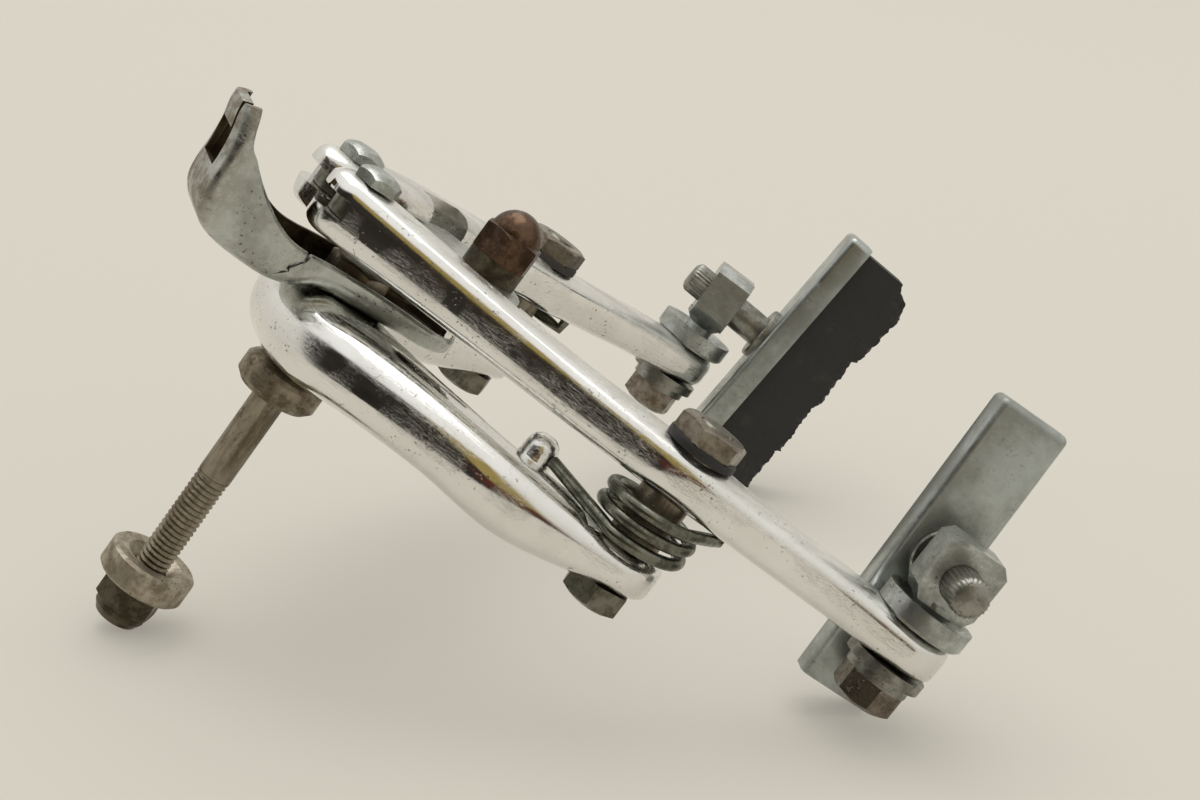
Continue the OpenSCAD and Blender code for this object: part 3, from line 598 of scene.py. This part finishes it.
def thread(name, radius, start, end, pitch, body, material):
    """A screw thread round the Y axis on its core, with its ends run out, as one twisted skin."""
    sides, per_turn, depth, slack = 40, 8, 0.42, 0.02
    count = int(abs(end - start) / pitch * per_turn) + 1
    rings = []
    for i in range(count):
        y = start + (end - start) * i / (count - 1)
        run_out = min(1.0, 1.1 * i / per_turn, 1.1 * (count - 1 - i) / per_turn)
        ring = []
        for j in range(sides):
            a = 2 * math.pi * j / sides
            phase = (y / pitch - j / sides) % 1
            r = radius - slack - depth * (1 - abs(2 * phase - 1)) * run_out
            ring.append((r * math.cos(a), y, r * math.sin(a)))
        rings.append(ring)
    shape = recalculated(body_from(name, *ringed(rings)))
    smooth_by_angle(shape.data, 60)
    return worn(shape, material, body, None)


def dressed(material, *nodes):
    """Gives CAD nodes a finish in their own material slots."""
    for node in nodes:
        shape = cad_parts[node]
        for slot in shape.material_slots:
            slot.material = material


bolt_r, shank_end, thread_end = 3.0, 18.0, 47.6
head_r, head_t = 5.77, 4
hanger_web = hub_front - sheet_t
bolt = turned("centre_bolt_shank", [
    [axis_r, hanger_web - 0.5], [bolt_r, hanger_web - 0.5], [bolt_r, shank_end - 0.6],
    [bolt_r - 0.35, shank_end - 0.1], [bolt_r - 0.5, shank_end], [axis_r, shank_end]])
head = turned("head", [[axis_r, hanger_web - head_t], [4.6, hanger_web - head_t],
                       [head_r, hanger_web - head_t + 0.6], [head_r, hanger_web], [axis_r, hanger_web]])
six_flats = drum("six_flats", head_r, hanger_web - head_t - 1, hanger_web + 1, sides=6)
softened(joined(head, [six_flats], "INTERSECT"), 0.12)
joined(bolt, [head], "UNION")
smooth_by_angle(bolt.data, 38)
worn(bolt, tarnished, "hub", "centre_bolt")
thread("centre_bolt_thread", bolt_r, shank_end - 0.4, thread_end, 1.0, "hub", tarnished)
dressed(stained_and_shaded_washer, "seat_washer")
dressed(stained, "rear_washer")
dressed(old_nut, "centre_nut")

# Pivots. A bolt from behind each leg carries a steel sleeve, on which the arm turns, and a nut
# holds it with a black washer. A coil of dark spring wire sits between the leg and the arm.
dark_steel = metal("dark_steel", (132, 130, 118), (80, 76, 64), 0.3, 0.48, 320, pits=0.6, rust=0.12,
                   rust_colour=(80, 62, 46), bump=0.6)
nut_steel = metal("worn_nut_steel", (146, 138, 126), (92, 82, 68), 0.26, 0.42, 420, pits=0.5, rust=0.15,
                  rust_colour=(88, 66, 48), bump=0.5)
wire_steel = metal("spring_wire", (128, 128, 116), (72, 72, 62), 0.22, 0.42, 340, pits=0.4, rust=0.06,
                   rust_colour=(76, 62, 48), bump=0.4)


def dull_black(name, colour, dust, roughness, cracks=0):
    """Black paint or rubber with clouds of pale dust, and a number of cracks to the metre, painted near
    black as painted shade inside them.
    """
    made, on = finish_named(name)
    grit = speckle(on, 900, 4.0, 0.65)
    cloud = speckle(on, 140, 4.0, 0.6).step(0.5, 0.75)
    tone = (cloud * 0.6).mix(paint(*colour), paint(*dust))
    relief = grit * 0.6
    if cracks:
        place = on.node("ShaderNodeTexCoord", out="Object")
        wander = on.node("ShaderNodeTexNoise", inputs={
            "Vector": place, "Scale": 400.0, "Detail": 3.0}, out=1)
        wander = on.node("ShaderNodeVectorMath", {"operation": "SCALE"}, {0: wander, "Scale": 4 * MM})
        place = on.node("ShaderNodeVectorMath", {"operation": "ADD"}, {0: place, 1: wander})
        torn = 1 - on.node("ShaderNodeTexVoronoi", {"feature": "DISTANCE_TO_EDGE"}, {
            "Vector": place, "Scale": float(cracks)}).step(0.0, 0.06)
        torn = torn * cloud
        # The cracks are painted near black: painted shade inside them, beside the bump that sinks them.
        tone = torn.mix(tone, paint(18, 18, 18))
        relief = relief - torn
    normal = on.node("ShaderNodeBump", inputs={
        "Strength": 0.5, "Distance": 0.3 * MM, "Height": relief})
    body = on.node("ShaderNodeBsdfPrincipled", inputs={
        "Base Color": tone, "Roughness": roughness + (grit - 0.5) * 0.2, "Normal": normal})
    on.node("ShaderNodeOutputMaterial", inputs={"Surface": body})
    return made


black = dull_black("black_washer", (34, 33, 32), (70, 66, 60), 0.55)

tree = bpy.data.node_groups.new("wire along its line", "GeometryNodeTree")
tree.interface.new_socket("Line", in_out="INPUT", socket_type="NodeSocketGeometry")
radius_socket = tree.interface.new_socket("Wire Radius", in_out="INPUT", socket_type="NodeSocketFloat")
sides_socket = tree.interface.new_socket("Sides", in_out="INPUT", socket_type="NodeSocketInt")
finish_socket = tree.interface.new_socket("Finish", in_out="INPUT", socket_type="NodeSocketMaterial")
tree.interface.new_socket("Wire", in_out="OUTPUT", socket_type="NodeSocketGeometry")
given, result = tree.nodes.new("NodeGroupInput"), tree.nodes.new("NodeGroupOutput")
line = tree.nodes.new("GeometryNodeMeshToCurve")
ring_curve = tree.nodes.new("GeometryNodeCurvePrimitiveCircle")
swept = tree.nodes.new("GeometryNodeCurveToMesh")
swept.inputs["Fill Caps"].default_value = True
shaded = tree.nodes.new("GeometryNodeSetShadeSmooth")
real = tree.nodes.new("GeometryNodeRealizeInstances")
coated = tree.nodes.new("GeometryNodeSetMaterial")
for start, end in (
        (given.outputs["Line"], line.inputs["Mesh"]),
        (given.outputs["Wire Radius"], ring_curve.inputs["Radius"]),
        (given.outputs["Sides"], ring_curve.inputs["Resolution"]),
        (line.outputs[0], swept.inputs["Curve"]),
        (ring_curve.outputs[0], swept.inputs["Profile Curve"]),
        (swept.outputs[0], shaded.inputs[0]),
        (shaded.outputs[0], real.inputs[0]),
        (real.outputs[0], coated.inputs["Geometry"]),
        (given.outputs["Finish"], coated.inputs["Material"]),
        (coated.outputs[0], result.inputs[0])):
    tree.links.new(start, end)

# The wire is drawn in the frame of the right pivot. It starts against the lug, leaves it on a
# straight line to the coil, and ends in a hole in the arm, reached on another straight line.
coil_r, wire_r, whole_turns = 8.0, 1.1, 1
coil_front, coil_rear = -27.2, yoke_end_front - 1.5
hook_rise, arm_reach = 1.5, 3.6
coil_points, wire_sides, washer_sides = 150, 20, 72
# Where the middle of the wire bears on the lug and enters the arm, from the pivot in x and z.
lug_hold = np.array([lug_x + 2.6 - pivot_x, lug_z - 1.6 - pivot_z])
arm_hold = np.array([1.4, -12.4])


def bearing(point):
    """The direction of a point from the pivot, in degrees."""
    return math.degrees(math.atan2(point[1], point[0]))


def lean_at(point):
    """How far round the coil, in degrees, the straight line from a point touches it."""
    return math.degrees(math.acos(coil_r / np.linalg.norm(point)))


first_turn = bearing(lug_hold) - lean_at(lug_hold)
last_turn = bearing(arm_hold) + lean_at(arm_hold) - 360 * (whole_turns + 1)


def on_coil(degrees, y):
    a = math.radians(degrees)
    return np.array([coil_r * math.cos(a), y, coil_r * math.sin(a)])


route = []
lug_point = np.array([lug_hold[0], coil_rear - hook_rise, lug_hold[1]])
hole_point = np.array([arm_hold[0], coil_front, arm_hold[1]])
for k in np.linspace(0, 0.95, 8):
    route.append(lug_point + (on_coil(first_turn, coil_rear) - lug_point) * k)
for k in np.linspace(0, 1, coil_points):
    route.append(on_coil(first_turn + (last_turn - first_turn) * k,
                         coil_rear + (coil_front - coil_rear) * k))
for k in (0.35, 0.7, 0.97):
    route.append(on_coil(last_turn, coil_front) * (1 - k) + hole_point * k)
route.append(hole_point + [0, -arm_reach, 0])
washer_bore, washer_r = 3.1, 6.3
for side, word in both_sides:
    placed = [Vector((side * (p[0] + pivot_x), p[1], p[2] + pivot_z)) * MM for p in route]
    wire_mesh = bpy.data.meshes.new(word + "_spring_wire")
    wire_mesh.from_pydata(placed, [(i, i + 1) for i in range(len(placed) - 1)], [])
    wire = bpy.data.objects.new(word + "_spring_wire", wire_mesh)
    bpy.context.scene.collection.objects.link(wire)
    sweep = wire.modifiers.new("sweep", "NODES")
    sweep.node_group = tree
    sweep[radius_socket.identifier] = wire_r * MM
    sweep[sides_socket.identifier] = wire_sides
    sweep[finish_socket.identifier] = wire_steel
    evaluated(wire)
    recalculated(wire)
    wire.data.shade_smooth()
    worn(wire, wire_steel, "hub", word + "_return_spring")
    dressed(dark_steel, word + "_pivot_bolt")
    dressed(tarnished, word + "_pivot_sleeve")
    low, high = (np.array(corner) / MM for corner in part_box(word + "_pivot_washer"))
    section = [(washer_bore, low[1]), (washer_r, low[1]), (washer_r, high[1]), (washer_bore, high[1])]
    washer = recalculated(body_from(word + "_thin_washer", *ringed([
        [(side * pivot_x + r * math.cos(a), y, pivot_z + r * math.sin(a)) for r, y in section]
        for a in np.linspace(0, 2 * math.pi, washer_sides, endpoint=False)], closed=True)))
    worn(softened(washer, 0.2), black, "hub", word + "_pivot_washer")
    dressed(nut_steel, word + "_pivot_nut")

# Arms. Each is a polished aluminium forging that swings on its sleeve. Its upper end is sawn
# into a clevis for the roller, with a step for the cam plate, and its lower end is a flat eye.
roller_x, roller_z = 6.45, 8.6
clamp_x, clamp_z = 58.8, -91.0
clevis_front, slot_front, slot_rear = -40.7, -37.1, -33.7
end_front, end_rear = -35.5, -28.0
arm_rows = [[6.2, 10.0, 5.8, clevis_front, -29.5],
            [15.6, -5.6, 6.0, -39.5, -29.4],
            [27.6, -24.2, 5.7, -38.3, -29.2],
            [37.6, -39.8, 6.6, -38.0, -29.2],
            [43.0, -49.5, 7.0, -37.9, -29.2],
            [48.2, -62.0, 6.0, -37.0, -28.8],
            [53.6, -76.5, 5.8, -36.4, -28.4],
            [clamp_x, clamp_z, 7.2, end_front, end_rear]]
# The right arm's lower end is set over by the shift below. A row of set_share is the share of it
# that one station takes across and down, and the share that it takes in depth.
side_set = {-1: (0, 0, 0), 1: (-2.0, -1.5, -2.4)}
set_share = [[0, 0], [0, 0.9], [0, 0.9], [0, 0.4], [0.1, 0], [0.4, 0.3], [0.75, 0.7], [1, 1]]
roller_room_r, roller_bolt_seat_r, sleeve_bore_r, eye_face_r = 5.2, 4.4, 4.55, 8.2
worn_forging = metal("worn_forging", (236, 236, 233), (224, 223, 219), 0.06, 0.11, 60, pits=0.6,
                     marks=0.9, bump=0.12, matt_front=(-40.2, 0.0515))
for side, word in both_sides:
    set_x, set_y, set_z = side_set[side]
    stations = []
    for row, (xz, y) in zip(arm_rows, set_share):
        stations.append([side * (row[0] + xz * set_x), row[1] + xz * set_z, row[2],
                         row[3] + y * set_y, row[4] + y * set_y])
    eye = (side * (clamp_x + set_x), clamp_z + set_z)
    pivot = (side * pivot_x, pivot_z)
    arm = bar(word + "_forged_arm", stations, 3.5, 121, 72)
    lean = -side * math.degrees(math.atan2(pivot_x - roller_x, -pivot_z + roller_z))
    tip = (side * roller_x, roller_z)

    def tool(name, near, far, front, rear, low, high):
        """A box to cut with, given from the roller's axis: near and far are across the arm."""
        near, far = sorted((side * near, side * far))
        return block(name, (near, front, low), (far, rear, high), lean, tip)
    joined(arm, [
        drum("roller_room", roller_room_r, slot_front, slot_rear, tip),
        tool("tip_slot", -12, 12, slot_front, slot_rear, 0.4, 12),
        tool("inner_slot", -12, -3.0, slot_front, slot_rear, -18, 6),
        tool("step", -12, -1, slot_front - 10, slot_rear - 0.02, -30, -17.9),
        drum("roller_bolt_seat", roller_bolt_seat_r, clevis_front - past, clevis_front, tip),
        drum("sleeve_bore", sleeve_bore_r, -55, -20, pivot),
        drum("eye_front", eye_face_r, end_front - past + set_y, end_front + set_y, eye),
        drum("eye_rear", eye_face_r, end_rear + set_y, end_rear + past + set_y, eye)], "DIFFERENCE")
    softened(arm, 0.3)
    worn(arm, worn_forging, word + "_side", word + "_arm")

# Cam. A zinc-plated steel plate with flared flanks hangs between the two rollers, which turn on
# small bolts in the clevises. Its anchor bolt, which is there to clamp a cable, has a rusty nut.
bright_zinc = metal("roller_bolt_zinc", (186, 190, 186), (136, 138, 130), 0.2, 0.36, 300, pits=0.5,
                    marks=0.4, bump=0.3)
zinc = metal("stained_zinc", (190, 194, 191), (140, 141, 134), 0.26, 0.42, 260, pits=0.6, marks=0.6,
             rust=0.06, rust_colour=(98, 82, 58), bump=0.3)
rusty = metal("rusty_nut", (108, 86, 70), (54, 40, 31), 0.18, 0.40, 300, pits=0.4, rust=0.34,
              rust_colour=(70, 46, 34), bump=0.6)
dressed(bright_zinc, "left_roller_bolt", "right_roller_bolt")
dressed(dark_steel, "left_roller", "right_roller", "anchor_bolt")
dressed(zinc, "cam_plate")
dressed(old_nut, "anchor_rear_washer", "anchor_spacer")
dressed(rusty, "anchor_nut")

# Pad clamps. An eye bolt with a square head holds each pad's post against a saddle washer, and
# a stepped washer and a nut behind the arm tighten it. The post is knurled steel, dull with age.
post_steel = metal("dull_post", (158, 157, 150), (106, 104, 94), 0.3, 0.48, 320, pits=0.6, rust=0.06,
                   rust_colour=(92, 76, 56), bump=0.5)
dressed(zinc, "left_eye_bolt", "right_eye_bolt", "left_saddle_washer", "right_saddle_washer")
dressed(post_steel, "left_stepped_washer", "right_stepped_washer")
dressed(nut_steel, "left_clamp_nut", "right_clamp_nut")
# How each pad is set: the depth of its post, its turns in degrees, how far the post reaches back
# from the clamp, and how far the rubber stands out of the holder.
pad_set = {-1: dict(eye=-45.3, turn=20, roll=-1.2, toe=-2, reach=8.5, rubber=3.2),
           1: dict(eye=-47.1, turn=63, roll=0, toe=-3.6, reach=11.8, rubber=14)}


def pad_place(side):
    """Where a pad drawn about its post, for the right side, lies on the brake, in millimetres."""
    own = pad_set[side]
    set_x, set_y, set_z = side_set[side]
    place = Matrix.Translation((clamp_x + set_x, own["eye"] + set_y, clamp_z + set_z))
    for degrees, axis in ((-own["turn"], "Y"), (own["toe"], "Z"), (own["roll"], "X")):
        place = place @ Matrix.Rotation(math.radians(degrees), 4, axis)
    place = place @ Matrix.Translation((-own["reach"], 0, 0))
    return place if side == 1 else Matrix.Scale(-1, 4, (1, 0, 0)) @ place


def placed_for(side, shape):
    """Moves a shape that was drawn about its post to its side, and turns its faces outwards."""
    place = pad_place(side)
    for vertex in shape.data.vertices:
        vertex.co = (place @ (vertex.co / MM)) * MM
    return recalculated(shape)


post_r, post_len, collar_r, collar_t = 3.4, 20.2, 5.8, 1.2
knurls, knurl_from, knurl_depth = 26, 12.5, 0.16
for side, word in both_sides:
    profile = [(axis_r, 0), (collar_r, 0), (collar_r, collar_t - 0.3), (collar_r - 0.3, collar_t),
               (post_r, collar_t)]
    profile += [(post_r, x) for x in np.linspace(collar_t + 1, post_len - 1.2, 16)]
    profile += [(post_r - 0.1, post_len - 0.9), (post_r - 0.55, post_len - 0.35),
                (post_r - 1.2, post_len), (axis_r, post_len)]
    rings = []
    for radius, x in profile:
        cut = knurl_depth if knurl_from < x < post_len - 0.8 else 0
        ring = []
        for a in np.linspace(0, 2 * math.pi, 8 * knurls, endpoint=False):
            r = radius - cut * (0.5 + 0.5 * math.cos(knurls * a))
            ring.append((x, r * math.cos(a), r * math.sin(a)))
        rings.append(ring)
    post = placed_for(side, body_from(word + "_knurled_post", *ringed(rings)))
    smooth_by_angle(post.data, 35)
    worn(post, post_steel, word + "_side", word + "_pad_post")

# Pads. Each is a block of black rubber, cracked and torn along its edges, in a holder folded
# from zinc-plated sheet that is closed at its front end and fixed to the post.
rubber = dull_black("old_rubber", (44, 45, 44), (70, 69, 65), 0.7, cracks=150)
holder_zinc = metal("holder_zinc", (184, 190, 188), (150, 153, 148), 0.28, 0.40, 130, pits=0.3, marks=0.6,
                    rust=0.03, rust_colour=(96, 80, 60), bump=0.2)
holder_len, holder_w, holder_rim, holder_t, post_offset = 57, 13.7, 5.2, 1.2, 1.6
outer_fold_r, inner_fold_r = 1.3, 0.7
rubber_layers, rubber_points, torn_band, seed = 15, 90, 2.5, 11
pad_top = holder_w / 2 + post_offset
pad_floor = pad_top - holder_w


def folded(shape, radius, upright):
    """Rounds the folds of a box, which are the edges of its back, except at its open end towards +Y.

    If upright is true, the two edges that stand at its closed end are folds too.
    """
    near = 0.1 * MM
    work = bmesh.new()
    work.from_mesh(shape.data)
    back = max(v.co.x for v in work.verts)
    open_end = max(v.co.y for v in work.verts)
    closed_end = min(v.co.y for v in work.verts)
    folds = [e for e in work.edges if all(v.co.x > back - near for v in e.verts)
             and not all(v.co.y > open_end - near for v in e.verts)]
    if upright:
        folds += [e for e in work.edges if all(v.co.y < closed_end + near for v in e.verts)
                  and abs(e.verts[0].co.x - e.verts[1].co.x) > near]
    bmesh.ops.bevel(work, geom=folds, offset=radius * MM, segments=6, profile=0.5, affect="EDGES")
    work.to_mesh(shape.data)
    work.free()
    return shape


def worn_outline(face):
    """The edge of the rubber from end to end: three blocks with a groove between each two."""
    start, end = -holder_len / 2 + holder_t, holder_len / 2
    return [(start, face + 4.2), (start + 1.6, face + 3.4), (start + 2.6, face + 1.4), (start + 6, face),
            (start + 16.5, face + 0.3), (start + 18.5, face + 0.8), (start + 19, face + 1.6),
            (start + 30.5, face + 0.6), (start + 31.5, face + 1.4), (start + 43, face + 0.6),
            (start + 44, face + 1.3), (end - 1.5, face + 0.8), (end, face + 2)]


for side, word in both_sides:
    half = holder_len / 2
    holder = block(word + "_folded_holder", (-holder_rim, -half, pad_floor), (0, half, pad_top))
    room_in = block("inside", (-holder_rim - 1, -half + holder_t, pad_floor + holder_t),
                    (-holder_t, half + 1, pad_top - holder_t))
    folded(holder, outer_fold_r, upright=True)
    folded(room_in, inner_fold_r, upright=False)
    joined(holder, [room_in], "DIFFERENCE")
    softened(holder, 0.15)
    placed_for(side, holder)
    worn(holder, holder_zinc, word + "_side", word + "_pad_holder")

    chance = random.Random(seed + side)
    outline = worn_outline(-holder_rim - pad_set[side]["rubber"])
    ends = np.array([p[0] for p in outline])
    depths = np.array([p[1] for p in outline])
    low, high = pad_floor + holder_t, pad_top - holder_t
    stations = np.unique(np.concatenate([np.linspace(ends[0], ends[-1], rubber_points), ends]))
    tears = np.array([chance.random() ** 2 for _ in stations])
    rings = []
    for z in np.linspace(low, high, rubber_layers):
        rim = min(z - low, high - z)
        fresh = np.array([chance.random() ** 2 for _ in stations])
        tears = 0.5 * tears + 0.5 * fresh
        depth_in = 0.1 + tears * (0.5 + 1.1 * max(0.0, 1 - rim / torn_band))
        edge = np.minimum(np.interp(stations, ends, depths) + depth_in, -holder_t - 0.5)
        rings.append([(-holder_t, y, z) for y in stations[::-1]]
                     + [(x, y, z) for x, y in zip(edge, stations)])
    pad = placed_for(side, body_from(word + "_worn_rubber", *ringed(rings)))
    smooth_by_angle(pad.data, 24)
    worn(pad, rubber, word + "_side", word + "_brake_pad")
